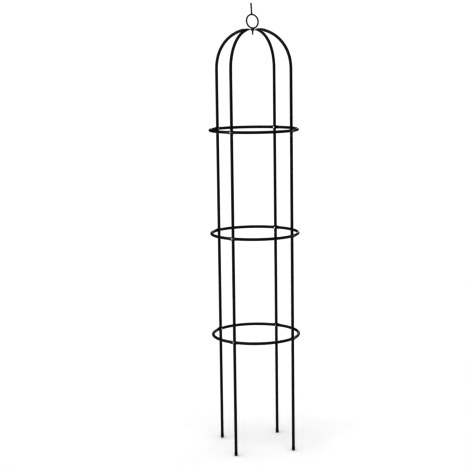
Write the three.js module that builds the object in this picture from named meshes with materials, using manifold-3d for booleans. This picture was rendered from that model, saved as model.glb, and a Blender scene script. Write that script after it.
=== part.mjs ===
// Garden obelisk: four round uprights in bolted sections, three two-piece
// hoops outside them, a dome of four arched sections and a ring finial.
// Millimetres, +Z up. The origin is on the ground, on the centre line.
// The uprights stand on the diagonals: front_left at 225 degrees,
// front_right at 315, back_right at 45 and back_left at 135.
import * as THREE from 'three';
import { mergeVertices } from 'three/addons/utils/BufferGeometryUtils.js';
import Module from 'manifold-3d';

const wasm = await Module();
wasm.setup();

// ---------------------------------------------------------------- dimensions
const LEG_R = 180;            // centre line to upright axis
const TUBE_R = 5.5;           // tube outer radius
const WALL = 0.7;             // tube wall
const SPIGOT_R = 4.4;         // swaged end, outer radius
const NECK = 2.5;             // length of the cone between an upright tube and its swaged end
const JOINT_GAP = 0.3;        // running gap between neighbouring pieces
const HOOP_Z = [495, 935, 1375];   // lower, middle and upper hoop heights
const SEAM_DROP = 22;         // each upright seam sits this far below its hoop
const LEG_SPIGOT = 46;        // swaged end length inside the next section
const SPRING_Z = 1626.7;      // where the dome starts to bend
const CROWN_Z = 1794;         // tube axis height at the crown
const DOME_EXP = 2.13;        // dome curve: 2 would be an ellipse

const HOOP_R = 184.4;         // hoop tube centre line
const HOOP_JOINT = -33;       // angle of the push-fit joint, degrees
const HOOP_NECK = 4;          // length of the cone on a half hoop
const HOOP_BARE = 4;          // swaged length left in view between the two tube ends
const HOOP_SPIGOT = 22;       // swaged length inside the other half
const PAD_T = 2.0;            // half thickness of the flattened spot on a hoop
const PAD_W = 6.5;            // half height of that spot
const PAD_R = LEG_R + TUBE_R + JOINT_GAP + PAD_T;   // its mid radius

const BOLT_R = 2.0;           // M4 x 20 pan head
const BOLT_LEN = 20;
const BOLT_HOLE_R = 2.3;
const HEAD_R = 3.9;
const HEAD_H = 2.6;
const NUT_AF = 7;             // M4 nut across flats
const NUT_H = 3.2;

const TAB_T = 0.65;           // half thickness of a flattened dome tab
const TAB_W = 7.5;            // half width
const TAB_BASE = 17;          // tab is flat inside this radius
const TAB_FULL = 60;          // tube is round outside this radius
const TAB_PITCH = 2 * TAB_T + JOINT_GAP;
const TAB_LOW = 1788.55;      // mid height of the lowest tab
const TAB_HOLE_R = 3.0;

const STUD_R = 2.5;           // M5 stud of the finial
const STUD_END = 1769.5;
const COLLAR_R = 5.5;         // weld collar between the stud and the ring
const COLLAR_H = 2.6;
const CROWN_NUT_AF = 8;       // M5 thin nut across flats
const CROWN_NUT_H = 2.7;
const WIRE_R = 2.5;
const RING_R = 27.6;          // finial ring centre line, before it is drawn oval
const RING_WIDE = 0.979;      // the ring is a little out of round: its width,
const RING_TALL = 1.007;      // its height
const RING_SKEW = 0.056;      // and how far its long axis leans
const RING_X = 0.9;           // ring centre, along the ring's plane
const RING_Z = 1824.6;
const SPIKE_X = 3.4;          // foot of the spike, along the ring's plane
const SPIKE_Z = 1851.6;
const SPIKE_L = 48.37;
const SPIKE_LEAN = 3.3;       // degrees, in the ring's plane
const FINIAL_TURN = 138;      // azimuth of the ring's plane, degrees

const CAP_R = 6.1;            // foot cap
const CAP_H = 17;
const CAP_FLOOR = 3;

const LEGS = [['front_left', 225], ['front_right', 315], ['back_right', 45], ['back_left', 135]];
const HOOPS = ['lower', 'middle', 'upper'];

// ----------------------------------------------------------------- materials
const blackTube = () => new THREE.MeshStandardMaterial({ color: 0x16171a, roughness: 0.42, metalness: 0.15 });
const wireMetal = () => new THREE.MeshStandardMaterial({ color: 0x111214, roughness: 0.45, metalness: 0.2 });
const zinc = () => new THREE.MeshStandardMaterial({ color: 0xc9ccd0, roughness: 0.3, metalness: 1.0 });
const capPlastic = () => new THREE.MeshStandardMaterial({ color: 0x111214, roughness: 0.6, metalness: 0.0 });

// ------------------------------------------------------------------- helpers
const rad = THREE.MathUtils.degToRad;
const smooth = (x) => { const t = Math.min(1, Math.max(0, x)); return t * t * (3 - 2 * t); };

function signedVolume(g) {
  const p = g.attributes.position, ix = g.index;
  const a = new THREE.Vector3(), b = new THREE.Vector3(), c = new THREE.Vector3();
  let v = 0;
  for (let i = 0; i < ix.count; i += 3) {
    a.fromBufferAttribute(p, ix.getX(i));
    b.fromBufferAttribute(p, ix.getX(i + 1));
    c.fromBufferAttribute(p, ix.getX(i + 2));
    v += a.dot(b.cross(c)) / 6;
  }
  return v;
}

// position-only, shared vertices, faces pointing out
function closed(geometry) {
  geometry.deleteAttribute('normal');
  geometry.deleteAttribute('uv');
  const g = mergeVertices(geometry, 1e-4);
  const keep = [];
  for (let i = 0; i < g.index.count; i += 3) {
    const t = [g.index.getX(i), g.index.getX(i + 1), g.index.getX(i + 2)];
    if (t[0] !== t[1] && t[1] !== t[2] && t[0] !== t[2]) keep.push(...t);
  }
  g.setIndex(keep);
  if (signedVolume(g) < 0) {
    for (let i = 0; i < keep.length; i += 3) [keep[i + 1], keep[i + 2]] = [keep[i + 2], keep[i + 1]];
    g.setIndex(keep);
  }
  return g;
}

function solid(geometry) {
  const g = closed(geometry);
  return new wasm.Manifold(new wasm.Mesh({
    numProp: 3,
    vertProperties: new Float32Array(g.attributes.position.array),
    triVerts: new Uint32Array(g.index.array),
  }));
}

function meshOf(body, name, material) {
  const m = body.getMesh();
  const g = new THREE.BufferGeometry();
  const n = m.vertProperties.length / m.numProp;
  const pos = new Float32Array(n * 3);
  for (let i = 0; i < n; i++) for (let k = 0; k < 3; k++) pos[3 * i + k] = m.vertProperties[i * m.numProp + k];
  g.setAttribute('position', new THREE.BufferAttribute(pos, 3));
  g.setIndex(Array.from(m.triVerts));
  g.computeVertexNormals();
  const mesh = new THREE.Mesh(g, material);
  mesh.name = name;
  return mesh;
}

// a turned body about +Z; profile is [radius, height] pairs
function turned(profile, sides, turn = 0) {
  const g = new THREE.LatheGeometry(profile.map(([r, z]) => new THREE.Vector2(r, z)), sides);
  g.rotateX(Math.PI / 2);
  g.rotateZ(turn);
  return g;
}

// A bar through a list of stations. Each station has a place p, a section
// frame n and b with n x b along the bar, half sizes an and ab, an offset
// along n and a squareness (2 is an ellipse, more is nearer a rectangle).
function bar(stations, sides) {
  const corners = [];
  for (let i = 0; i < sides; i++) {
    const a = (2 * Math.PI * i) / sides;
    corners.push(new THREE.Vector2(Math.cos(a), Math.sin(a)));
  }
  const steps = stations.length - 1;
  const g = new THREE.ExtrudeGeometry(new THREE.Shape(corners), { depth: steps, steps, bevelEnabled: false, curveSegments: 1 });
  const pos = g.attributes.position;
  const v = new THREE.Vector3();
  for (let i = 0; i < pos.count; i++) {
    const s = stations[Math.round(pos.getZ(i))];
    const cx = pos.getX(i), cy = pos.getY(i), e = 2 / (s.sq ?? 2);
    const u = Math.sign(cx) * Math.abs(Math.abs(cx) < 1e-6 ? 0 : cx) ** e * s.an + (s.off ?? 0);
    const w = Math.sign(cy) * Math.abs(Math.abs(cy) < 1e-6 ? 0 : cy) ** e * s.ab;
    v.copy(s.p).addScaledVector(s.n, u).addScaledVector(s.b, w);
    pos.setXYZ(i, v.x, v.y, v.z);
  }
  return g;
}

// a round bar from radius r0 to r1 along the direction az at height z
function radialPin(az, z, r0, r1, radius, sides = 10) {
  const g = new THREE.CylinderGeometry(radius, radius, r1 - r0, sides);
  g.rotateZ(-Math.PI / 2);
  g.translate((r0 + r1) / 2, 0, 0);
  g.rotateZ(rad(az));
  g.translate(0, 0, z);
  return g;
}

const obelisk = new THREE.Group();
obelisk.name = 'garden_obelisk';

// ------------------------------------------------------------------ uprights
// straight section from z0 to its seam z1, with the swaged end above z1
function legSection(name, az, z0, z1, holes) {
  const IN = TUBE_R - WALL, SIN = SPIGOT_R - WALL, top = z1 + LEG_SPIGOT;
  const tube = turned([
    [IN, z0], [TUBE_R, z0], [TUBE_R, z1 - NECK], [SPIGOT_R, z1],
    [SPIGOT_R, top - 1.2], [SPIGOT_R - 0.4, top], [SIN, top],
    [SIN, z1], [IN, z1 - NECK], [IN, z0],
  ], 12);
  tube.rotateZ(rad(az));
  tube.translate(LEG_R * Math.cos(rad(az)), LEG_R * Math.sin(rad(az)), 0);
  let body = solid(tube);
  for (const z of holes) body = body.subtract(solid(radialPin(az, z, LEG_R - 12, LEG_R + 12, BOLT_HOLE_R, 8)));
  obelisk.add(meshOf(body, name, blackTube()));
}

// ---------------------------------------------------------------------- dome
// Points of one dome section in its own upright plane: radius, height.
function domeCurve() {
  const pts = [];
  const M = 400, pw = 2 / DOME_EXP;
  for (let i = 0; i <= M; i++) {
    const t = (Math.PI / 2) * (i / M);
    const c = Math.max(0, Math.cos(t)), s = Math.sin(t);
    pts.push(new THREE.Vector2(LEG_R * (i === M ? 0 : c ** pw), SPRING_Z + (CROWN_Z - SPRING_Z) * s ** pw));
  }
  return pts;
}
const DOME = domeCurve();

// place and direction on the curve at radius r
function domeAt(r) {
  for (let i = 1; i < DOME.length; i++) {
    if (DOME[i].x <= r) {
      const a = DOME[i - 1], b = DOME[i];
      const k = (a.x - r) / (a.x - b.x);
      const j0 = Math.max(0, i - 4), j1 = Math.min(DOME.length - 1, i + 3);
      const d = DOME[j1].clone().sub(DOME[j0]).normalize();
      return { q: a.clone().lerp(b, k), d };
    }
  }
  return { q: DOME[DOME.length - 1].clone(), d: new THREE.Vector2(-1, 0) };
}

function domeStations(az, level, inner) {
  const out = new THREE.Vector3(Math.cos(rad(az)), Math.sin(rad(az)), 0);
  const side = new THREE.Vector3(-Math.sin(rad(az)), Math.cos(rad(az)), 0);
  const up = new THREE.Vector3(0, 0, 1);
  const list = [];
  const wall = inner ? WALL : 0;
  const push = (r, z, dr, dz, an, ab, off, sq) => list.push({
    p: out.clone().multiplyScalar(r).addScaledVector(up, z),
    n: out.clone().multiplyScalar(dz).addScaledVector(up, -dr),
    b: side, an: an - wall, ab: ab - wall, off, sq,
  });
  const z0 = HOOP_Z[2] - SEAM_DROP + JOINT_GAP;
  push(LEG_R, inner ? z0 - 2 : z0, 0, 1, TUBE_R, TUBE_R, 0, 2);
  push(LEG_R, SPRING_Z, 0, 1, TUBE_R, TUBE_R, 0, 2);
  for (const r of [178.6, 175, 169, 160, 148, 133, 115, 96, 78, TAB_FULL, 53, 46, 39, 32, 25, TAB_BASE]) {
    const { q, d } = domeAt(r);
    const f = smooth((TAB_FULL - r) / (TAB_FULL - TAB_BASE));
    const an = TUBE_R + (TAB_T - TUBE_R) * f;
    if (inner && an < 1.6) break;
    const ab = TUBE_R + (TAB_W - TUBE_R) * f;
    // the last stretch turns level so that the tab lies flat
    const dd = d.clone().lerp(new THREE.Vector2(-1, 0), f).normalize();
    const off = f * (level - q.y);
    push(q.x, q.y, dd.x, dd.y, an, ab, off, 2 + 2.2 * f);
  }
  if (!inner) {
    for (const [r, w] of [[0, TAB_W], [-4.2, 6.2], [-6.6, 4.0], [-7.6, 1.6]]) {
      push(r, level, -1, 0, TAB_T, w, 0, 4.2);
    }
  }
  return list;
}

function domeSection(name, az, level) {
  let body = solid(bar(domeStations(az, level, false), 8));
  body = body.subtract(solid(bar(domeStations(az, level, true), 8)));
  body = body.subtract(solid(radialPin(az, HOOP_Z[2], LEG_R - 12, LEG_R + 12, BOLT_HOLE_R, 8)));
  const hole = new THREE.CylinderGeometry(TAB_HOLE_R, TAB_HOLE_R, 6, 10);
  hole.rotateX(Math.PI / 2);
  hole.translate(0, 0, level);
  body = body.subtract(solid(hole));
  obelisk.add(meshOf(body, name, blackTube()));
}

LEGS.forEach(([leg, az], i) => {
  const seam = HOOP_Z.map((z) => z - SEAM_DROP);
  legSection(`${leg}_foot_tube`, az, CAP_FLOOR + JOINT_GAP, seam[0], [HOOP_Z[0]]);
  legSection(`${leg}_middle_tube`, az, seam[0] + JOINT_GAP, seam[1], [HOOP_Z[0], HOOP_Z[1]]);
  legSection(`${leg}_upper_tube`, az, seam[1] + JOINT_GAP, seam[2], [HOOP_Z[1], HOOP_Z[2]]);
  // tab order on the stud, from the bottom: back_right, front_left, back_left, front_right
  const order = { back_right: 0, front_left: 1, back_left: 2, front_right: 3 }[leg];
  domeSection(`${leg}_dome_tube`, az, TAB_LOW + TAB_PITCH * order);
});

// --------------------------------------------------------------------- hoops
// Angles along one half hoop, measured with the joint at HOOP_JOINT.
function hoopStations(z, turn, inner) {
  const start = HOOP_JOINT + rad2deg(HOOP_BARE / HOOP_R), end = HOOP_JOINT + 180;
  const neck = rad2deg(HOOP_NECK / HOOP_R);
  const tip = end + rad2deg((HOOP_BARE + HOOP_SPIGOT) / HOOP_R);
  const marks = [start, -28, -24, -12, 0, 12, 25, 38.2, 40.3, 43, 47, 49.7, 51.8, 65, 78, 90, 103, 116,
    128.2, 130.3, 133, 137, 139.7, 141.8, end - neck, end, start + 180, 152, tip];
  const wall = inner ? WALL : 0;
  return marks.map((a, i) => {
    let t = a;
    if (inner && i === 0) t = a - 1;
    if (inner && i === marks.length - 1) t = a + 1;
    const near = Math.min(Math.abs(a - 45), Math.abs(a - 135));
    const f = 1 - smooth((near - 2.0) / 4.8);
    let r = TUBE_R;
    if (a >= end) r = SPIGOT_R;
    const az = rad(t + turn);
    const n = new THREE.Vector3(Math.cos(az), Math.sin(az), 0);
    return {
      p: n.clone().multiplyScalar(HOOP_R).setZ(z),
      n, b: new THREE.Vector3(0, 0, -1),
      an: r + (PAD_T - r) * f - wall * (1 - 0.15 * f), ab: r + (PAD_W - r) * f - wall,
      off: (PAD_R - HOOP_R) * f, sq: 2 + 1.6 * f,
    };
  });
}
function rad2deg(x) { return (x * 180) / Math.PI; }

HOOPS.forEach((level, k) => {
  for (const [half, turn] of [['back', 0], ['front', 180]]) {
    let body = solid(bar(hoopStations(HOOP_Z[k], turn, false), 8));
    body = body.subtract(solid(bar(hoopStations(HOOP_Z[k], turn, true), 8)));
    for (const a of [45, 135]) {
      body = body.subtract(solid(radialPin(a + turn, HOOP_Z[k], PAD_R - 8, PAD_R + 8, BOLT_HOLE_R, 8)));
    }
    obelisk.add(meshOf(body, `${level}_hoop_${half}_half`, blackTube()));
  }
});

// ----------------------------------------------------------- bolts and nuts
HOOPS.forEach((level, k) => {
  for (const [leg, az] of LEGS) {
    // turned about +Z with the head up, then laid along the radius
    const len = BOLT_LEN, tip = PAD_R + PAD_T + 0.2 - len;
    const bolt = turned([
      [0, 0], [BOLT_R - 0.5, 0], [BOLT_R, 0.6], [BOLT_R, len],
      [HEAD_R, len], [HEAD_R, len + 1.1], [HEAD_R * 0.72, len + HEAD_H * 0.88], [0, len + HEAD_H],
    ], 10);
    bolt.rotateY(Math.PI / 2);
    bolt.translate(tip, 0, 0);
    bolt.rotateZ(rad(az));
    bolt.translate(0, 0, HOOP_Z[k]);
    obelisk.add(meshOf(solid(bolt), `${level}_hoop_bolt_${leg}`, zinc()));

    const circ = NUT_AF / Math.sqrt(3);
    const nut = turned([
      [2.6, 0], [circ - 0.35, 0], [circ, 0.45], [circ, NUT_H - 0.45],
      [circ - 0.35, NUT_H], [2.6, NUT_H], [2.6, 0],
    ], 6);
    nut.rotateY(Math.PI / 2);
    nut.translate(LEG_R - TUBE_R - 0.3 - NUT_H, 0, 0);
    nut.rotateZ(rad(az));
    nut.translate(0, 0, HOOP_Z[k]);
    obelisk.add(meshOf(solid(nut), `${level}_hoop_nut_${leg}`, zinc()));
  }
});

// ----------------------------------------------------------------- foot caps
for (const [leg, az] of LEGS) {
  const inner = TUBE_R + JOINT_GAP;
  const cap = turned([
    [0, 0], [3.6, 0], [5.3, 0.8], [CAP_R - 0.1, 2.6], [CAP_R, CAP_H - 1], [CAP_R - 0.25, CAP_H],
    [inner, CAP_H], [inner, CAP_FLOOR], [0, CAP_FLOOR],
  ], 16);
  cap.translate(LEG_R * Math.cos(rad(az)), LEG_R * Math.sin(rad(az)), 0);
  obelisk.add(meshOf(solid(cap), `${leg}_foot_cap`, capPlastic()));
}

// -------------------------------------------------------------------- finial
const tabTop = TAB_LOW + 3 * TAB_PITCH + TAB_T;
const tabBottom = TAB_LOW - TAB_T;
{
  const z0 = tabTop + JOINT_GAP;
  const stud = turned([
    [0, STUD_END], [STUD_R - 0.6, STUD_END], [STUD_R, STUD_END + 0.8], [STUD_R, z0],
    [COLLAR_R, z0], [COLLAR_R, z0 + 0.9], [COLLAR_R - 1.8, z0 + COLLAR_H], [0, z0 + COLLAR_H],
  ], 12);
  const ring = new THREE.TorusGeometry(RING_R, WIRE_R, 8, 28);
  ring.rotateX(Math.PI / 2);
  ring.applyMatrix4(new THREE.Matrix4().set(
    RING_WIDE, 0, RING_SKEW, RING_X,
    0, 1, 0, 0,
    RING_SKEW, 0, RING_TALL, RING_Z,
    0, 0, 0, 1,
  ));
  const spike = turned([
    [0, 0], [WIRE_R, 0], [WIRE_R, SPIKE_L - 6],
    [WIRE_R + 0.35, SPIKE_L - 4], [WIRE_R + 0.35, SPIKE_L - 1.2], [WIRE_R - 0.7, SPIKE_L], [0, SPIKE_L],
  ], 8);
  spike.rotateY(rad(SPIKE_LEAN));
  spike.translate(SPIKE_X, 0, SPIKE_Z);
  for (const g of [ring, spike]) g.rotateZ(rad(FINIAL_TURN));
  const body = solid(stud).add(solid(ring)).add(solid(spike));
  obelisk.add(meshOf(body, 'finial', wireMetal()));
}
{
  const n1 = tabBottom - JOINT_GAP, n0 = n1 - CROWN_NUT_H, circ = CROWN_NUT_AF / Math.sqrt(3);
  const nut = turned([
    [3.15, n0], [circ - 0.4, n0], [circ, n0 + 0.4], [circ, n1 - 0.4], [circ - 0.4, n1], [3.15, n1], [3.15, n0],
  ], 6, rad(12));
  obelisk.add(meshOf(solid(nut), 'finial_nut', wireMetal()));
}

export default obelisk;
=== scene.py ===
import math
import random

import bpy
import numpy as np
from mathutils import Matrix, Vector


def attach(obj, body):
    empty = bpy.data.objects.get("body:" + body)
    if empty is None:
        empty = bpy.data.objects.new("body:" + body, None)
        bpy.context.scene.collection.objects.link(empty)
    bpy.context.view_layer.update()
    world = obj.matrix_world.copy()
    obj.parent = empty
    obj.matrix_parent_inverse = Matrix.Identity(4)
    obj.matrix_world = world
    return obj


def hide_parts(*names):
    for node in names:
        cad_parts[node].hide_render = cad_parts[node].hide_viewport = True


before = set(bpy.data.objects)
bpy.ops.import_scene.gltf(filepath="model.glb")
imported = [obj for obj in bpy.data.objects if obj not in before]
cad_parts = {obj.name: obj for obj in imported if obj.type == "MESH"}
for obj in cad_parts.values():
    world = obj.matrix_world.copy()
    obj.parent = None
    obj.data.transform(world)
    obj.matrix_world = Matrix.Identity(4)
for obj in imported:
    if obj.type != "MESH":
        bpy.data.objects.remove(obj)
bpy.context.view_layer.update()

MM = 0.001
rng = random.Random(7)

# ------------------------------------------------------------ sizes, in mm
LEG_R = 180.0
TUBE_R = 5.48
WALL = 0.7
SPIGOT_R = 4.4
NECK = 2.5
GAP = 0.3
HOOP_Z = [495.0, 935.0, 1375.0]
SEAM_DROP = 22.0
LEG_SPIGOT = 46.0
SPRING_Z = 1626.7
CROWN_Z = 1794.0
DOME_EXP = 2.13
HOOP_R = 184.4
HOOP_JOINT = -33.0
HOOP_NECK = 4.0
HOOP_BARE = 4.0
HOOP_SPIGOT = 22.0
PAD_T = 2.0
PAD_W = 6.5
PAD_R = LEG_R + 5.5 + GAP + PAD_T
BOLT_R = 2.0
HOLE_R = 2.3
HEAD_R = 3.9
HEAD_H = 2.6
NUT_AF = 7.0
NUT_H = 3.2
TAB_T = 0.65
TAB_W = 7.5
TAB_BASE = 17.0
TAB_FULL = 60.0
TAB_PITCH = 2 * TAB_T + GAP
TAB_LOW = 1788.55
STUD_R = 2.5
STUD_END = 1769.6
COLLAR_R = 5.4
COLLAR_H = 2.6
CROWN_NUT_AF = 8.0
CROWN_NUT_H = 2.7
WIRE_R = 2.5
RING_R = 27.6
RING_SHAPE = ((0.979, 0.056), (0.056, 1.007))
RING_X = 0.9
RING_Z = 1824.6
SPIKE_X = 3.4
SPIKE_Z = 1851.6
SPIKE_L = 48.3
SPIKE_LEAN = math.radians(3.3)
FINIAL_TURN = math.radians(138)
CAP_R = 6.1
CAP_H = 17.0
CAP_FLOOR = 3.0
LEGS = [("front_left", 225), ("front_right", 315), ("back_right", 45), ("back_left", 135)]
HOOPS = ["lower", "middle", "upper"]
TAB_ORDER = {"back_right": 0, "front_left": 1, "back_left": 2, "front_right": 3}

SIDES = 32


# ------------------------------------------------------------ mesh building
def smooth(x):
    t = np.clip(x, 0.0, 1.0)
    return t * t * (3 - 2 * t)


def loft(rings, wrap=False):
    """Rings of points (K, M, 3) joined in order. wrap closes the last on the first, and otherwise both ends are closed."""
    rings = np.asarray(rings, float)
    K, M = rings.shape[:2]
    i = np.arange(K if wrap else K - 1)[:, None]
    j = np.arange(M)[None, :]
    a, b = i * M + j, i * M + (j + 1) % M
    c, d = ((i + 1) % K) * M + (j + 1) % M, ((i + 1) % K) * M + j
    faces = np.stack([a, b, c, d], -1).reshape(-1, 4).tolist()
    v = rings.reshape(-1, 3)
    if not wrap:
        n = len(v)
        v = np.vstack([v, rings[0].mean(0), rings[-1].mean(0)])
        last = (K - 1) * M
        for k in range(M):
            faces.append([n, (k + 1) % M, k])
            faces.append([n + 1, last + k, last + (k + 1) % M])
    return v, faces


def circle(r, z, sides=SIDES, turn=0.0):
    t = 2 * math.pi * np.arange(sides) / sides + turn
    return np.stack([r * np.cos(t), r * np.sin(t), np.full(sides, float(z))], 1)


def lathe(profile, wrap=False, sides=SIDES):
    return loft([circle(r, z, sides) for r, z in profile], wrap)


def section(p, n, b, an, ab, off=0.0, sq=2.0, sides=SIDES):
    t = 2 * math.pi * np.arange(sides) / sides
    c, s = np.cos(t), np.sin(t)
    e = 2.0 / sq
    u = np.sign(c) * np.abs(c) ** e * an + off
    w = np.sign(s) * np.abs(s) ** e * ab
    return np.asarray(p)[None, :] + np.outer(u, n) + np.outer(w, b)


def new_mesh(name, verts, faces, at=None):
    """A mesh from points in millimetres; at is a 4 by 4 matrix in millimetres."""
    v = np.asarray(verts, float)
    if at is not None:
        at = np.asarray(at)
        v = v @ at[:3, :3].T + at[:3, 3]
    me = bpy.data.meshes.new(name)
    me.from_pydata((v * MM).tolist(), [], faces)
    me.validate()
    me.update()
    return me


def scratch(name, verts, faces):
    o = bpy.data.objects.new(name, new_mesh(name, verts, faces))
    bpy.context.scene.collection.objects.link(o)
    return o


def boolean(target, tools, how="DIFFERENCE"):
    """Cuts or joins target with each tool, in place, and removes the tools."""
    for tool in tools:
        m = target.modifiers.new("b", "BOOLEAN")
        m.operation = how
        m.solver = "EXACT"
        m.object = tool
        dg = bpy.context.evaluated_depsgraph_get()
        me = bpy.data.meshes.new_from_object(target.evaluated_get(dg))
        target.modifiers.clear()
        old = target.data
        target.data = me
        bpy.data.meshes.remove(old)
        bpy.data.objects.remove(tool)
    return target


def arrays(o):
    me = o.data
    v = np.zeros(len(me.vertices) * 3)
    me.vertices.foreach_get("co", v)
    f = [list(p.vertices) for p in me.polygons]
    return v.reshape(-1, 3) / MM, f


def take(o):
    """The points and faces of a scratch object, which is then removed."""
    v, f = arrays(o)
    me = o.data
    bpy.data.objects.remove(o)
    bpy.data.meshes.remove(me)
    return v, f


def rod(p0, p1, r, sides=24):
    """A closed round bar between two points."""
    p0, p1 = np.asarray(p0, float), np.asarray(p1, float)
    t = (p1 - p0) / np.linalg.norm(p1 - p0)
    n = np.cross(t, [0, 0, 1.0]) if abs(t[2]) < 0.9 else np.cross(t, [1.0, 0, 0])
    n /= np.linalg.norm(n)
    b = np.cross(t, n)
    return loft([section(p, n, b, r, r, sides=sides) for p in (p0, p1)])


def placed(az, z):
    """Local x round the obelisk, y up, z outward, at angle az in degrees and height z."""
    a = math.radians(az)
    m = np.eye(4)
    m[:3, 0] = (-math.sin(a), math.cos(a), 0)
    m[:3, 1] = (0, 0, 1)
    m[:3, 2] = (math.cos(a), math.sin(a), 0)
    m[:3, 3] = (0, 0, z)
    return m


def turned(angle):
    m = np.eye(4)
    c, s = math.cos(angle), math.sin(angle)
    m[:2, :2] = [[c, -s], [s, c]]
    return m


def moved(x, y, z):
    m = np.eye(4)
    m[:3, 3] = (x, y, z)
    return m


# the black pieces and the plated hardware as groups, which the side lights are set to light
BLACK = bpy.data.collections.new("black_pieces")
PLATED = bpy.data.collections.new("plated_pieces")


def piece(name, node, slot, verts, faces, mats, at=None, wear=None, face_mat=None, sharp=38):
    """A finished piece that stands for one CAD node."""
    me = new_mesh(name, verts, faces, at)
    for m in mats:
        me.materials.append(m)
    if face_mat is not None:
        me.polygons.foreach_set("material_index", np.asarray(face_mat, np.int32))
    if wear is not None:
        a = me.attributes.new("wear", "FLOAT", "POINT")
        a.data.foreach_set("value", np.asarray(wear, np.float32))
    me.polygons.foreach_set("use_smooth", np.ones(len(me.polygons), bool))
    me.set_sharp_from_angle(angle=math.radians(sharp))
    me.update()
    o = bpy.data.objects.new(name, me)
    bpy.context.scene.collection.objects.link(o)
    (PLATED if slot == "zinc" else BLACK).objects.link(o)
    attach(o, "root")
    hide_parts(node)
    return o


# ---------------------------------------------------------------- materials
class Nodes:
    def __init__(self, name):
        self.mat = bpy.data.materials.new(name)
        self.mat.use_nodes = True
        self.t = self.mat.node_tree
        self.t.nodes.clear()
        self.out = self.t.nodes.new("ShaderNodeOutputMaterial")
        self.bsdf = self.t.nodes.new("ShaderNodeBsdfPrincipled")
        self.t.links.new(self.bsdf.outputs[0], self.out.inputs[0])
        self.co = self.t.nodes.new("ShaderNodeTexCoord").outputs["Object"]

    def link(self, a, b):
        self.t.links.new(a, b)

    def stretched(self, sx, sy, sz):
        m = self.t.nodes.new("ShaderNodeMapping")
        m.inputs["Scale"].default_value = (sx, sy, sz)
        self.link(self.co, m.inputs["Vector"])
        return m.outputs[0]

    def noise(self, scale, detail=2.0, rough=0.5, vector=None, distortion=0.0):
        n = self.t.nodes.new("ShaderNodeTexNoise")
        n.inputs["Scale"].default_value = scale
        n.inputs["Detail"].default_value = detail
        n.inputs["Roughness"].default_value = rough
        n.inputs["Distortion"].default_value = distortion
        self.link(vector or self.co, n.inputs["Vector"])
        return n.outputs["Fac"]

    def cells(self, scale, feature="F1"):
        n = self.t.nodes.new("ShaderNodeTexVoronoi")
        n.feature = feature
        n.inputs["Scale"].default_value = scale
        self.link(self.co, n.inputs["Vector"])
        return n.outputs["Distance"]

    def ramp(self, value, stops, mode="EASE"):
        r = self.t.nodes.new("ShaderNodeValToRGB")
        r.color_ramp.interpolation = mode
        el = r.color_ramp.elements
        while len(el) < len(stops):
            el.new(0.5)
        for e, (pos, col) in zip(el, stops):
            e.position = pos
            e.color = (*col, 1) if not isinstance(col, (int, float)) else (col, col, col, 1)
        self.link(value, r.inputs[0])
        return r.outputs[0]

    def spread(self, value, lo, hi, to_lo, to_hi):
        m = self.t.nodes.new("ShaderNodeMapRange")
        m.clamp = True
        for k, v in zip(("From Min", "From Max", "To Min", "To Max"), (lo, hi, to_lo, to_hi)):
            m.inputs[k].default_value = v
        self.link(value, m.inputs["Value"])
        return m.outputs[0]

    def math(self, op, a, b):
        m = self.t.nodes.new("ShaderNodeMath")
        m.operation = op
        for k, v in enumerate((a, b)):
            if isinstance(v, (int, float)):
                m.inputs[k].default_value = v
            else:
                self.link(v, m.inputs[k])
        return m.outputs[0]

    def mix(self, fac, a, b):
        m = self.t.nodes.new("ShaderNodeMix")
        m.data_type = "RGBA"
        self.link(fac, m.inputs[0])
        for k, v in ((6, a), (7, b)):
            if isinstance(v, tuple):
                m.inputs[k].default_value = (*v, 1)
            else:
                self.link(v, m.inputs[k])
        return m.outputs[2]

    def attribute(self, name):
        a = self.t.nodes.new("ShaderNodeAttribute")
        a.attribute_type = "GEOMETRY"
        a.attribute_name = name
        return a.outputs["Fac"]

    def bump(self, height, strength, distance, below=None):
        b = self.t.nodes.new("ShaderNodeBump")
        b.inputs["Strength"].default_value = strength
        b.inputs["Distance"].default_value = distance
        self.link(height, b.inputs["Height"])
        if below is not None:
            self.link(below, b.inputs["Normal"])
        return b.outputs[0]

    def set(self, **values):
        for k, v in values.items():
            s = self.bsdf.inputs[k.replace("_", " ")]
            if isinstance(v, (int, float, tuple)):
                s.default_value = (*v, 1) if isinstance(v, tuple) and len(v) == 3 and s.type == "RGBA" else v
            else:
                self.link(v, s)


def black_coat(name, dark, light, rough_lo, rough_hi, spec):
    """Satin black coating on steel: fine orange peel, faint handling marks, a little bare metal where the wear attribute asks for it."""
    n = Nodes(name)
    tone = n.ramp(n.noise(26, 3), [(0.3, dark), (0.7, light)])
    speck = n.spread(n.noise(1500, 2, 0.6), 0.66, 0.74, 0, 0.35)
    tone = n.mix(speck, tone, tuple(min(1, 4 * c) for c in light))
    rub = n.spread(n.noise(1.0, 4, 0.65, n.stretched(700, 700, 90)), 0.63, 0.75, 0, 0.22)
    tone = n.mix(rub, tone, tuple(min(1, 3.2 * c) for c in light))
    grain = n.noise(520, 4, 0.7)
    worn = n.math("MULTIPLY", n.attribute("wear"), n.spread(grain, 0.35, 0.62, 0.0, 1.7))
    worn = n.spread(worn, 0.5, 0.72, 0, 1)
    colour = n.mix(worn, tone, (0.19, 0.185, 0.18))
    base = n.spread(n.noise(48, 3, 0.55), 0.3, 0.7, rough_lo, rough_hi)
    smear = n.spread(n.noise(9, 4, 0.6), 0.5, 0.72, 0, 0.1)
    rough = n.math("ADD", base, smear)
    low = n.bump(n.noise(160, 1), 0.35, 0.00012)
    peel = n.bump(n.noise(850, 2, 0.45), 0.4, 0.00005, low)
    fine = n.bump(rub, 0.25, 0.00002, peel)
    n.set(Base_Color=colour, Roughness=rough, Metallic=n.spread(worn, 0, 1, 0.0, 0.8), Normal=fine)
    n.set(Specular_IOR_Level=spec)
    return n.mat


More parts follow.
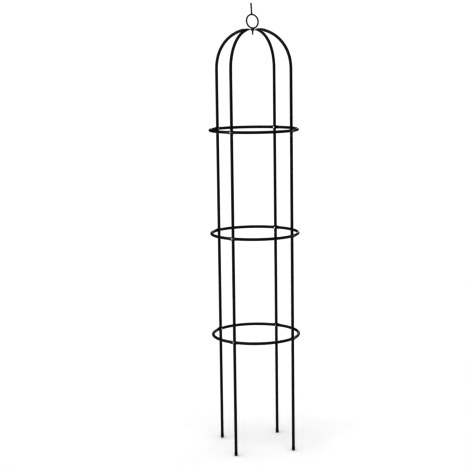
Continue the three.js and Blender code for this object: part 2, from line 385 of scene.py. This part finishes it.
def zinc_plate():
    """Bright zinc plating: metal with fine cloudy tint, small pits and hairline marks."""
    n = Nodes("zinc_plate")
    tone = n.ramp(n.noise(260, 3, 0.6), [(0.28, (0.44, 0.455, 0.48)), (0.55, (0.58, 0.59, 0.60)), (0.8, (0.64, 0.625, 0.58))])
    pits = n.spread(n.noise(3200, 2), 0.64, 0.72, 0, 0.5)
    tone = n.mix(pits, tone, (0.24, 0.24, 0.25))
    rough = n.spread(n.noise(420, 4, 0.65), 0.3, 0.7, 0.24, 0.42)
    hair = n.noise(1.0, 3, 0.6, n.stretched(2600, 900, 2600))
    h = n.bump(hair, 0.2, 0.00002)
    h = n.bump(n.noise(1800, 2), 0.25, 0.00002, h)
    n.set(Base_Color=tone, Roughness=rough, Metallic=1.0, Normal=h)
    return n.mat


def bare_steel():
    """Bare galvanised steel of the swaged tube ends, drawn lengthways by the swaging."""
    n = Nodes("bare_steel")
    tone = n.ramp(n.noise(180, 4, 0.6), [(0.3, (0.42, 0.43, 0.44)), (0.7, (0.66, 0.67, 0.68))])
    rough = n.spread(n.noise(240, 3), 0.3, 0.7, 0.3, 0.46)
    h = n.bump(n.noise(900, 3, 0.6), 0.4, 0.00003)
    n.set(Base_Color=tone, Roughness=rough, Metallic=1.0, Normal=h)
    return n.mat


def cap_plastic():
    """Moulded matte black plastic with a fine grain and faint scuffs where it meets the ground."""
    n = Nodes("cap_plastic")
    tone = n.ramp(n.noise(120, 3), [(0.3, (0.008, 0.008, 0.0085)), (0.7, (0.014, 0.014, 0.015))])
    scuff = n.math("MULTIPLY", n.attribute("wear"), n.spread(n.noise(700, 4, 0.7), 0.42, 0.66, 0, 1))
    tone = n.mix(scuff, tone, (0.075, 0.07, 0.064))
    rough = n.spread(n.noise(300, 2), 0.3, 0.7, 0.48, 0.66)
    h = n.bump(n.noise(2600, 1), 0.5, 0.00003)
    h = n.bump(n.noise(420, 2), 0.2, 0.00006, h)
    n.set(Base_Color=tone, Roughness=rough, Metallic=0.0, Normal=h)
    n.set(Specular_IOR_Level=0.35)
    return n.mat


TUBE = black_coat("black_coated_tube", (0.020, 0.0205, 0.022), (0.030, 0.031, 0.033), 0.27, 0.38, 0.3)
WIRE = black_coat("black_painted_wire", (0.020, 0.0205, 0.022), (0.030, 0.031, 0.033), 0.30, 0.42, 0.3)
ZINC = zinc_plate()
STEEL = bare_steel()
CAP = cap_plastic()


# ----------------------------------------------------------------- uprights
def neck(r0, r1, z0, z1, n=6):
    """A smooth swaged neck from r0 to r1."""
    return [(r0 + (r1 - r0) * float(smooth(k / n)), z0 + (z1 - z0) * k / n) for k in range(n + 1)]


def leg_tube(z0, z1, holes):
    """A straight section about its own axis, with the bolt holes along local x."""
    IN, SIN, top = TUBE_R - WALL, SPIGOT_R - WALL, z1 + LEG_SPIGOT
    prof = [(TUBE_R - 0.2, z0), (TUBE_R - 0.05, z0 + 0.08), (TUBE_R, z0 + 0.3)]
    levels = {round(z0 + d, 3) for d in (1, 2, 4, 8)} | {round(z1 - NECK - d, 3) for d in (1, 2, 4, 8)}
    for z in holes:
        if z < z1:
            levels |= {z - 9, z - 6, z - 3.4, z + 3.4, z + 6, z + 9}
    last = z0 + 0.3
    for z in sorted(levels):
        while z - last > 60:
            last += 40
            prof.append((TUBE_R, last))
        if z - last > 0.3:
            prof.append((TUBE_R, z))
            last = z
    prof += neck(TUBE_R, SPIGOT_R, z1 - NECK, z1)
    prof += [(SPIGOT_R, z1 + 18), (SPIGOT_R, z1 + 26), (SPIGOT_R, top - 1.4), (SPIGOT_R - 0.15, top - 0.5), (SPIGOT_R - 0.4, top)]
    prof += [(SIN + 0.05, top), (SIN, top - 0.2)]
    prof += [(r, z) for r, z in reversed(neck(IN, SIN, z1 - NECK, z1))]
    prof += [(IN, z0 + 0.25), (IN + 0.08, z0)]
    v, f = lathe(prof, wrap=True, sides=40)
    o = scratch("leg", v, f)
    tools = []
    for z in holes:
        tools.append(scratch("pin", *rod((-12, 0, z), (12, 0, z), HOLE_R)))
    return take(boolean(o, tools))


def leg_wear(v, z0, z1, holes):
    r = np.hypot(v[:, 0], v[:, 1])
    w = np.exp(-np.abs(v[:, 2] - z0) / 1.0) * 0.5
    w = np.maximum(w, np.exp(-np.abs(v[:, 2] - (z1 - NECK)) / 1.4) * 0.42)
    for z in holes:
        d = np.hypot(v[:, 1], v[:, 2] - z)
        w = np.maximum(w, np.clip(1.2 - d / 5.0, 0, 0.8))
    return np.where(v[:, 2] > z1 - 0.4, 0.6, w) * (r > 0)


def steel_faces(v, f, test):
    """1 for faces whose points all pass test, so that they take the second material."""
    ok = test(v)
    return [1 if all(ok[i] for i in face) else 0 for face in f]


seam = [z - SEAM_DROP for z in HOOP_Z]
KINDS = {
    "foot_tube": (CAP_FLOOR + GAP, seam[0], [HOOP_Z[0]]),
    "middle_tube": (seam[0] + GAP, seam[1], [HOOP_Z[0], HOOP_Z[1]]),
    "upper_tube": (seam[1] + GAP, seam[2], [HOOP_Z[1], HOOP_Z[2]]),
}
for kind, (z0, z1, holes) in KINDS.items():
    v, f = leg_tube(z0, z1, holes)
    wear = leg_wear(v, z0, z1, holes)
    fm = steel_faces(v, f, lambda q: q[:, 2] > z1 - 0.35)
    for leg, az in LEGS:
        a = math.radians(az)
        at = moved(LEG_R * math.cos(a), LEG_R * math.sin(a), 0) @ turned(a)
        piece(f"{leg}_{kind}_fine", f"{leg}_{kind}", "tube", v, f, [TUBE, STEEL], at, wear, fm)


# --------------------------------------------------------------------- dome
def dome_curve():
    t = np.linspace(0, math.pi / 2, 1601)
    pw = 2 / DOME_EXP
    r = LEG_R * np.clip(np.cos(t), 0, 1) ** pw
    r[-1] = 0
    z = SPRING_Z + (CROWN_Z - SPRING_Z) * np.sin(t) ** pw
    return r, z


CURVE_R, CURVE_Z = dome_curve()


def dome_at(r):
    z = np.interp(-r, -CURVE_R, CURVE_Z)
    h = max(0.35, 0.012 * r)
    ra, rb = min(LEG_R, r + h), max(0.0, r - h)
    za, zb = np.interp(-ra, -CURVE_R, CURVE_Z), np.interp(-rb, -CURVE_R, CURVE_Z)
    if r > LEG_R - 0.02:
        return z, np.array([0.0, 1.0])
    d = np.array([rb - ra, zb - za])
    return z, d / np.linalg.norm(d)


def dome_rings(level, inner):
    """Sections in the upright plane of local x and z, from the open lower end towards the tab."""
    wall = WALL if inner else 0.0
    y = np.array([0.0, 1.0, 0.0])
    z0 = HOOP_Z[2] - SEAM_DROP + GAP
    rings = []

    def add(r, z, dr, dz, an, ab, off=0.0, sq=2.0, flat=0.0):
        w = wall * (1 - 0.45 * flat)
        n = np.array([dz, 0.0, -dr])
        p = np.array([r, 0.0, z])
        rings.append(section(p, n, y, an - w, ab - w, off, sq))

    if inner:
        for z, g in ((z0, 0.08), (z0 + 0.25, 0.0)):
            add(LEG_R, z, 0, 1, TUBE_R + g, TUBE_R + g)
    else:
        for z, g in ((z0, -0.2), (z0 + 0.08, -0.05), (z0 + 0.3, 0)):
            add(LEG_R, z, 0, 1, TUBE_R + g, TUBE_R + g)
    for z in (z0 + 1, z0 + 2, z0 + 4, z0 + 8, HOOP_Z[2] - 9, HOOP_Z[2] - 6, HOOP_Z[2] - 3.4, HOOP_Z[2] + 3.4, HOOP_Z[2] + 6, HOOP_Z[2] + 9,
              1430, 1480, 1530, 1580, SPRING_Z - 20, SPRING_Z):
        add(LEG_R, z, 0, 1, TUBE_R, TUBE_R)
    radii = [179.9, 179.5, 178.8, 177.6, 176, 174, 171.5, 168.5, 165, 161, 156.5, 151.5, 146, 140, 133.5, 126.5, 119, 111, 103, 95, 87, 79, 71]
    radii += list(np.arange(TAB_FULL + 4, TAB_BASE, -1.6)) + [TAB_BASE]
    for r in radii:
        z, d = dome_at(r)
        f = float(smooth((TAB_FULL - r) / (TAB_FULL - TAB_BASE)))
        an = TUBE_R + (TAB_T - TUBE_R) * f
        if inner and an < 1.35:
            break
        ab = TUBE_R + (TAB_W - TUBE_R) * f
        d = d * (1 - f) + np.array([-1.0, 0.0]) * f
        d /= np.linalg.norm(d)
        add(r, z, d[0], d[1], an, ab, f * (level - z), 2 + 2.4 * f, f)
    if not inner:
        for r, w in ((13, 1), (8, 1), (4, 1), (0, 1), (-2, 0.985), (-3.6, 0.92), (-5.0, 0.79), (-6.1, 0.62), (-6.9, 0.42), (-7.35, 0.24), (-7.5, 0.12)):
            add(r, level, -1, 0, TAB_T * (1 if w > 0.3 else 0.9), TAB_W * w, 0, 4.4 if w > 0.5 else 3.2)
    return rings


for leg, az in LEGS:
    level = TAB_LOW + TAB_PITCH * TAB_ORDER[leg]
    rings = list(reversed(dome_rings(level, True))) + dome_rings(level, False)
    v, f = loft(rings)
    o = scratch("dome", v, f)
    tools = [scratch("pin", *rod((LEG_R - 12, 0, HOOP_Z[2]), (LEG_R + 12, 0, HOOP_Z[2]), HOLE_R)),
             scratch("pin", *rod((0, 0, level - 4), (0, 0, level + 4), 2.85, 32))]
    v, f = take(boolean(o, tools))
    z0 = HOOP_Z[2] - SEAM_DROP + GAP
    wear = np.exp(-np.abs(v[:, 2] - z0) / 1.2) * 0.75
    wear = np.maximum(wear, np.where(v[:, 2] < 1400, np.clip(1.2 - np.hypot(v[:, 1], v[:, 2] - HOOP_Z[2]) / 5, 0, 0.8), 0))
    tab = (v[:, 0] < TAB_BASE + 6) & (v[:, 2] > 1700)
    edge = np.clip((np.abs(v[:, 1]) - 6.6) / 1.0, 0, 1) * 0.62
    wear = np.maximum(wear, np.where(tab, np.maximum(edge, np.clip(1.3 - np.hypot(v[:, 0], v[:, 1]) / 5, 0, 0.75)), 0))
    piece(f"{leg}_dome_tube_fine", f"{leg}_dome_tube", "tube", v, f, [TUBE], turned(math.radians(az)), wear)


# -------------------------------------------------------------------- hoops
def hoop_section(a, inner, r=None, grow=0.0):
    near = min(abs(a - 45), abs(a - 135))
    f = 1 - float(smooth((near - 2.0) / 4.8))
    r = TUBE_R if r is None else r
    w = WALL if inner else 0.0
    t = math.radians(a)
    n = np.array([math.cos(t), math.sin(t), 0.0])
    an = r + (PAD_T - r) * f - w * (1 - 0.15 * f) + grow
    ab = r + (PAD_W - r) * f - w + grow
    # the pressed faces are flatter than an ellipse, with rounded folds
    return section(n * HOOP_R, n, np.array([0.0, 0.0, -1.0]), an, ab, (PAD_R - HOOP_R) * f, 2 + 1.7 * f, sides=28)


def deg(mm):
    return math.degrees(mm / HOOP_R)


def hoop_half():
    start, end = HOOP_JOINT + deg(HOOP_BARE), HOOP_JOINT + 180
    tip = end + deg(HOOP_BARE + HOOP_SPIGOT)
    body = [start + deg(0.3), start + deg(1), start + deg(2), start + deg(3.5)]
    a = start + deg(5.5)
    body.append(a)
    while a < end - deg(HOOP_NECK) - 1.2:
        near = min(abs(a - 45), abs(a - 135))
        a += 0.6 if near < 8.0 else 2.2
        body.append(a)
    body = [x for x in body if x < end - deg(HOOP_NECK + 6)]
    body += [end - deg(HOOP_NECK + d) for d in (5, 3, 1.5, 0.6)]
    outer = [hoop_section(start, False, grow=-0.2), hoop_section(start + deg(0.08), False, grow=-0.05)]
    outer += [hoop_section(x, False) for x in body]
    n = 8
    for k in range(n + 1):
        x = end - deg(HOOP_NECK) * (1 - k / n)
        outer.append(hoop_section(x, False, TUBE_R + (SPIGOT_R - TUBE_R) * float(smooth(k / n))))
    for k in range(1, 10):
        outer.append(hoop_section(end + (tip - deg(1) - end) * k / 9, False, SPIGOT_R))
    outer += [hoop_section(tip - deg(0.3), False, SPIGOT_R - 0.2), hoop_section(tip, False, SPIGOT_R - 0.45)]
    inner = [hoop_section(tip, True, SPIGOT_R + 0.05)]
    for k in range(8, -1, -1):
        inner.append(hoop_section(end + (tip - deg(1) - end) * k / 9, True, SPIGOT_R))
    for k in range(n, -1, -1):
        x = end - deg(HOOP_NECK) * (1 - k / n)
        inner.append(hoop_section(x, True, TUBE_R + (SPIGOT_R - TUBE_R) * float(smooth(k / n))))
    inner += [hoop_section(x, True) for x in reversed(body)]
    inner.append(hoop_section(start, True, grow=0.08))
    v, f = loft(outer + inner, wrap=True)
    o = scratch("hoop", v, f)
    tools = []
    for x in (45, 135):
        t = math.radians(x)
        d = np.array([math.cos(t), math.sin(t), 0])
        tools.append(scratch("pin", *rod(d * (PAD_R - 8), d * (PAD_R + 8), HOLE_R)))
    return take(boolean(o, tools)), end, tip


(hv, hf), h_end, h_tip = hoop_half()
ang = np.degrees(np.arctan2(hv[:, 1], hv[:, 0]))
ang = np.where(ang < -90, ang + 360, ang)
hoop_wear = np.zeros(len(hv))
for x in (45, 135):
    arc = np.abs(ang - x) * math.pi / 180 * HOOP_R
    d = np.hypot(arc, hv[:, 2])
    hoop_wear = np.maximum(hoop_wear, np.clip(1.35 - d / 5.4, 0, 0.7))
    fold = np.clip((np.abs(hv[:, 2]) - 6.3) / 1.1, 0, 1) * np.clip(1.4 - arc / 9, 0, 1) * 0.58
    hoop_wear = np.maximum(hoop_wear, fold)
rim = np.abs(ang - (HOOP_JOINT + deg(HOOP_BARE))) * math.pi / 180 * HOOP_R
hoop_wear = np.maximum(hoop_wear, np.exp(-rim / 1.1) * 0.8)
necked = (ang - (h_end - deg(HOOP_NECK))) * math.pi / 180 * HOOP_R
hoop_wear = np.maximum(hoop_wear, np.clip(necked / 4.0, 0, 1) * 0.9)
hoop_mat = steel_faces(hv, hf, lambda q: np.where(np.degrees(np.arctan2(q[:, 1], q[:, 0])) < -90, 360, 0) + np.degrees(np.arctan2(q[:, 1], q[:, 0])) > h_end - deg(1.1))
for k, level in enumerate(HOOPS):
    for half, turn in (("back", 0.0), ("front", math.pi)):
        piece(f"{level}_hoop_{half}_half_fine", f"{level}_hoop_{half}_half", "tube", hv, hf, [TUBE, STEEL],
              moved(0, 0, HOOP_Z[k]) @ turned(turn), hoop_wear, hoop_mat)


# ---------------------------------------------------------- bolts and nuts
def thread(z0, z1, r_major, r_minor, pitch, sides=24, per=6, lead=0.8):
    """Rings of a screw thread about the z axis from z0 to z1, tapered at z0."""
    n = int(round((z1 - z0) / pitch * per))
    t = 2 * math.pi * np.arange(sides) / sides
    rings = []
    for k in range(n + 1):
        z = z0 + (z1 - z0) * k / n
        ph = (z / pitch - t / (2 * math.pi)) % 1.0
        tri = 1 - np.abs(2 * ph - 1)
        r = r_minor + (r_major - r_minor) * np.clip(tri * 1.35 - 0.1, 0, 1)
        r = np.minimum(r, r_minor * 0.86 + (r_major - r_minor * 0.86) * min(1.0, (z - z0) / lead))
        rings.append(np.stack([r * np.cos(t), r * np.sin(t), np.full(sides, z)], 1))
    return rings


def pan_bolt():
    seat = PAD_R + PAD_T + 0.2
    tip = seat - 20.0
    rings = thread(tip, tip + 7.0, BOLT_R - 0.02, BOLT_R - 0.36, 0.7)
    rings += [circle(BOLT_R - 0.3, tip + 7.4, 24), circle(BOLT_R - 0.05, tip + 7.8, 24), circle(BOLT_R - 0.05, seat - 0.3, 24), circle(BOLT_R + 0.1, seat, 24)]
    head = [(HEAD_R - 0.12, seat), (HEAD_R, seat + 0.15), (HEAD_R, seat + 0.9)]
    for k in range(1, 9):
        a = math.pi / 2 * k / 9
        head.append((HEAD_R * (0.52 + 0.48 * math.cos(a)), seat + 0.9 + (HEAD_H - 1.0) * math.sin(a)))
    head += [(HEAD_R * 0.42, seat + HEAD_H - 0.05), (HEAD_R * 0.2, seat + HEAD_H - 0.01), (0.15, seat + HEAD_H)]
    # the head needs more sides than the thread, so it is its own loft joined on
    hv_, hf_ = lathe([(0.15, seat - 0.01)] + [(BOLT_R + 0.6, seat - 0.01)] + head, sides=48)
    sv_, sf_ = loft(rings)
    o = scratch("bolt_head", hv_, hf_)
    boolean(o, [scratch("shank", sv_, sf_)], "UNION")
    top = seat + HEAD_H
    tools = []
    for q in (0.0, math.pi / 2):
        c, s = math.cos(q), math.sin(q)

        def rect(lx, ly, z):
            return np.array([[c * x - s * y, s * x + c * y, z] for x, y in ((lx, ly), (-lx, ly), (-lx, -ly), (lx, -ly))])

        tools.append(scratch("slot", *loft([rect(0.55, 0.26, top - 1.75), rect(1.15, 0.38, top - 1.1), rect(2.25, 0.5, top + 0.3)])))
    return take(boolean(o, tools))


def hex_nut(af, h, bore, sides=60):
    rc = af / 2 * 0.965
    t = 2 * math.pi * np.arange(sides) / sides
    face = (af / 2) / np.cos((t + math.pi / 6) % (math.pi / 3) - math.pi / 6)
    drop = np.maximum(0, face - rc) * math.tan(math.radians(30))

    def ring(r, z):
        r = np.broadcast_to(r, t.shape)
        return np.stack([r * np.cos(t), r * np.sin(t), np.broadcast_to(z, t.shape)], 1)

    soft = face - 0.06
    return loft([
        ring(bore + 0.32, 0), ring(rc - 0.1, 0), ring(rc, 0.02), ring(soft, drop), ring(face, drop + 0.08),
        ring(face, h / 2), ring(face, h - drop - 0.08), ring(soft, h - drop), ring(rc, h - 0.02), ring(rc - 0.1, h),
        ring(bore + 0.32, h), ring(bore, h - 0.32), ring(bore, h / 2), ring(bore, 0.32)], wrap=True)


bolt_v, bolt_f = pan_bolt()
nut_v, nut_f = hex_nut(NUT_AF, NUT_H, BOLT_R + 0.04)
for k, level in enumerate(HOOPS):
    for leg, az in LEGS:
        spin = turned(rng.uniform(0, math.pi / 2))
        piece(f"{level}_hoop_bolt_{leg}_fine", f"{level}_hoop_bolt_{leg}", "zinc", bolt_v, bolt_f, [ZINC], placed(az, HOOP_Z[k]) @ spin, sharp=32)
        spin = moved(0, 0, LEG_R - 5.5 - 0.3 - NUT_H) @ turned(rng.uniform(0, math.pi / 3))
        piece(f"{level}_hoop_nut_{leg}_fine", f"{level}_hoop_nut_{leg}", "zinc", nut_v, nut_f, [ZINC], placed(az, HOOP_Z[k]) @ spin, sharp=28)


# ---------------------------------------------------------------- foot caps
def foot_cap():
    inner = TUBE_R + 0.1
    out = [(0.8, 0.28), (1.1, 0.0), (3.2, 0.0)]
    for k in range(1, 10):
        a = math.pi / 2 * k / 9
        out.append((3.2 + 2.72 * math.sin(a), 3.6 * (1 - math.cos(a))))
    out += [(5.95, 6.0), (5.98, 12.8), (6.0, 13.3), (CAP_R - 0.03, 13.7), (CAP_R, 14.1), (CAP_R, CAP_H - 0.9), (CAP_R - 0.08, CAP_H - 0.4), (CAP_R - 0.22, CAP_H - 0.06), (CAP_R - 0.32, CAP_H)]
    out += [(inner + 0.08, CAP_H), (inner, CAP_H - 0.25), (inner, CAP_FLOOR + 0.4), (inner - 0.4, CAP_FLOOR), (0.6, CAP_FLOOR)]
    return lathe(out, sides=48)


cap_v, cap_f = foot_cap()
cap_wear = np.clip(1.1 - cap_v[:, 2] / 7.0, 0, 1)
for leg, az in LEGS:
    a = math.radians(az)
    piece(f"{leg}_foot_cap_fine", f"{leg}_foot_cap", "cap", cap_v, cap_f, [CAP], moved(LEG_R * math.cos(a), LEG_R * math.sin(a), 0) @ turned(rng.uniform(0, 6)), cap_wear)


# ------------------------------------------------------------------- finial
tab_top = TAB_LOW + 3 * TAB_PITCH + TAB_T
seat_z = tab_top + GAP


def oval(points):
    """Draws points of the round ring, about the origin in the x, z plane, out to its slightly oval shape and place."""
    q = np.array(points, float)
    x, z = q[..., 0].copy(), q[..., 2].copy()
    (a, b), (c, d) = RING_SHAPE
    q[..., 0], q[..., 2] = a * x + b * z + RING_X, c * x + d * z + RING_Z
    return q


def ring_wire(major=160, minor=24):
    """The finial ring: a round wire along the oval centre line."""
    t = 2 * math.pi * np.arange(major) / major
    mid = oval(np.stack([RING_R * np.cos(t), 0 * t, RING_R * np.sin(t)], 1))
    rings = []
    for k in range(major):
        d = mid[(k + 1) % major] - mid[k - 1]
        d /= np.linalg.norm(d)
        n = np.array([d[2], 0.0, -d[0]])
        rings.append(section(mid[k], n, np.array([0.0, -1.0, 0.0]), WIRE_R, WIRE_R, sides=minor))
    return loft(rings, wrap=True), mid


def leaned(v):
    """Puts the spike, made upright at the origin, on the ring."""
    c, s = math.cos(SPIKE_LEAN), math.sin(SPIKE_LEAN)
    q = np.array(v, float)
    x, z = q[:, 0].copy(), q[:, 2].copy()
    q[:, 0], q[:, 2] = c * x + s * z + SPIKE_X, -s * x + c * z + SPIKE_Z
    return q


def bead(centre, size, seed, sides=28, rows=16):
    """A small weld bead: a lumpy flattened ball."""
    r = random.Random(seed)
    ph = [r.uniform(0, 6.28) for _ in range(4)]
    rings = []
    for k in range(1, rows):
        a = math.pi * k / rows
        t = 2 * math.pi * np.arange(sides) / sides
        lump = 1 + 0.05 * np.sin(3 * t + ph[0] + 2 * a) + 0.04 * np.sin(5 * t + ph[1] - 3 * a) + 0.03 * np.sin(7 * a + ph[2])
        ring_r = math.sin(a) * lump
        rings.append(np.stack([centre[0] + size[0] * ring_r * np.cos(t), centre[1] + size[1] * ring_r * np.sin(t),
                               centre[2] - size[2] * math.cos(a) * np.ones(sides)], 1))
    return loft(rings)


(tv, tf), ring_mid = ring_wire()
ring_top = ring_mid[:, 2].max()
fin = scratch("finial", tv, tf)
sp = [(WIRE_R, -0.4), (WIRE_R, SPIKE_L - 8), (WIRE_R + 0.05, SPIKE_L - 6), (WIRE_R + 0.33, SPIKE_L - 4), (WIRE_R + 0.33, SPIKE_L - 1.6)]
for k in range(1, 6):
    a = math.pi / 2 * k / 5.5
    sp.append((WIRE_R + 0.33 - 1.1 * (1 - math.cos(a)), SPIKE_L - 1.6 + 1.5 * math.sin(a)))
sp.append((0.6, SPIKE_L - 0.02))
sv, sf = lathe(sp, sides=24)
bv, bf = bead((SPIKE_X + 0.3, 0, ring_top + WIRE_R + 0.1), (3.9, 3.3, 1.7), 3)
boolean(fin, [scratch("spike", leaned(sv), sf), scratch("bead", bv, bf)], "UNION")
# the collar is the weld between the stud and the ring: rounded, with a slight ripple
rings = []
for k, (r, dz) in enumerate([(0.3, 0.0), (4.9, 0.0), (5.25, 0.12), (COLLAR_R, 0.45), (COLLAR_R, 0.85), (5.15, 1.35), (4.75, 1.8), (4.2, 2.2), (3.4, 2.5), (0.3, COLLAR_H)]):
    q = circle(r, seat_z + dz, 48)
    t = 2 * math.pi * np.arange(48) / 48
    if 2 <= k <= 8:
        q[:, :2] *= (1 - 0.03 * (0.5 + 0.5 * np.sin(5 * t + 0.7 * k)) - 0.02 * (0.5 + 0.5 * np.sin(9 * t - k)))[:, None]
    rings.append(q)
lv, lf = loft(rings)
rings = thread(STUD_END, seat_z - 5.6, STUD_R - 0.02, STUD_R - 0.34, 0.8, sides=28, per=7, lead=1.0)
rings += [circle(STUD_R - 0.1, seat_z - 5.0, 28), circle(STUD_R - 0.05, seat_z + 1.6, 28)]
boolean(fin, [scratch("collar", lv, lf), scratch("stud", *loft(rings))], "UNION")
fv, ff = take(fin)
fw = np.where(fv[:, 2] < seat_z - 0.1, 0.3, 0.12)
fw = np.where((np.hypot(fv[:, 0], fv[:, 1]) > COLLAR_R - 0.9) & (fv[:, 2] < seat_z + 1.5), np.maximum(fw, 0.4), fw)
fw = np.where(fv[:, 2] > 1897.6, 0.6, fw)
piece("finial_fine", "finial", "wire", fv, ff, [WIRE], turned(FINIAL_TURN), fw, sharp=40)

n1 = TAB_LOW - TAB_T - GAP
nv, nf = hex_nut(CROWN_NUT_AF, CROWN_NUT_H, STUD_R + 0.04)
piece("finial_nut_fine", "finial_nut", "wire", nv, nf, [WIRE], moved(0, 0, n1 - CROWN_NUT_H) @ turned(math.radians(12)), sharp=28)

# -------------------------------------------------------------------- stage
floor_mat = Nodes("pale_floor")
tone = floor_mat.ramp(floor_mat.noise(2.0, 3), [(0.3, (0.83, 0.83, 0.83)), (0.7, (0.86, 0.86, 0.855))])
floor_mat.set(Base_Color=tone, Roughness=0.9)
floor_mat.set(Specular_IOR_Level=0.05)
me = bpy.data.meshes.new("floor")
FLOOR_R, N = 4.2, 96
ring = [(FLOOR_R * math.cos(2 * math.pi * k / N), FLOOR_R * math.sin(2 * math.pi * k / N), -0.0004) for k in range(N)]
me.from_pydata(ring, [], [tuple(range(N))])
me.materials.append(floor_mat.mat)
floor = bpy.data.objects.new("floor", me)
bpy.context.scene.collection.objects.link(floor)

world = bpy.data.worlds.new("studio")
bpy.context.scene.world = world
world.use_nodes = True
wt = world.node_tree
wt.nodes.clear()
wo = wt.nodes.new("ShaderNodeOutputWorld")
seen = wt.nodes.new("ShaderNodeBackground")
seen.inputs["Color"].default_value = (1, 1, 1, 1)
seen.inputs["Strength"].default_value = 1.03
lit = wt.nodes.new("ShaderNodeBackground")
lit.inputs["Color"].default_value = (0.97, 0.985, 1, 1)
lit.inputs["Strength"].default_value = 0.12
pick = wt.nodes.new("ShaderNodeMixShader")
path = wt.nodes.new("ShaderNodeLightPath")
wt.links.new(path.outputs["Is Camera Ray"], pick.inputs[0])
wt.links.new(lit.outputs[0], pick.inputs[1])
wt.links.new(seen.outputs[0], pick.inputs[2])
wt.links.new(pick.outputs[0], wo.inputs[0])


def area(name, at, target, sx, sy, watts, lights=BLACK, colour=(1, 1, 1)):
    light = bpy.data.lights.new(name, "AREA")
    light.shape = "RECTANGLE"
    light.size, light.size_y = sx, sy
    light.energy = watts
    light.color = colour
    o = bpy.data.objects.new(name, light)
    bpy.context.scene.collection.objects.link(o)
    o.location = at
    o.rotation_euler = (Vector(target) - Vector(at)).to_track_quat("-Z", "Y").to_euler()
    o.light_linking.receiver_collection = lights
    return o


# a broad overhead light keeps the floor even, and tall soft boxes draw the lines of light down the tubes; broad dim ones light the hardware
sun = bpy.data.lights.new("overhead", "SUN")
sun.energy = 3.58
sun.angle = math.radians(100)
so = bpy.data.objects.new("overhead", sun)
bpy.context.scene.collection.objects.link(so)
so.rotation_euler = (math.radians(8), math.radians(-10), 0)
area("left", (-4.0, -0.9, 1.1), (0, 0, 1.0), 1.1, 2.4, 130)
area("front", (-1.4, -4.2, 3.4), (0, 0, 1.0), 0.9, 1.8, 45)
area("right", (3.6, 0.6, 1.3), (0, 0, 1.0), 0.5, 2.4, 45)
area("back", (1.6, 3.8, 2.4), (0, 0, 1.0), 0.7, 2.4, 30)
area("hardware_front", (0.6, -4.4, 1.6), (0, 0, 1.0), 2.6, 2.6, 50, PLATED)
area("hardware_left", (-4.0, -0.9, 1.4), (0, 0, 1.0), 2.2, 2.6, 75, PLATED)
area("hardware_back", (1.6, 4.0, 1.6), (0, 0, 1.0), 2.6, 2.6, 40, PLATED)

# ------------------------------------------------------------------- camera
AIM = math.radians(13.8057)
PITCH = math.radians(8.7559)
ROLL = math.radians(-0.7947)
view = Vector((math.sin(AIM) * math.cos(PITCH), math.cos(AIM) * math.cos(PITCH), -math.sin(PITCH)))
right = Vector((math.cos(AIM), -math.sin(AIM), 0))
up = right.cross(view)
right2 = math.cos(ROLL) * right + math.sin(ROLL) * up
up2 = math.cos(ROLL) * up - math.sin(ROLL) * right
cam_data = bpy.data.cameras.new("camera")
cam_data.sensor_width = 36
cam_data.lens = 36 * 1198.39 / 470
cam_data.clip_start, cam_data.clip_end = 0.05, 300
cam = bpy.data.objects.new("camera", cam_data)
bpy.context.scene.collection.objects.link(cam)
basis = Matrix((right2, up2, -view)).transposed().to_4x4()
basis.translation = Vector((-1.28946, -4.89130, 1.7059))
cam.matrix_world = basis
bpy.context.scene.camera = cam

bpy.context.scene.view_settings.view_transform = "Standard"
bpy.context.scene.view_settings.look = "None"
bpy.context.scene.view_settings.gamma = 0.45
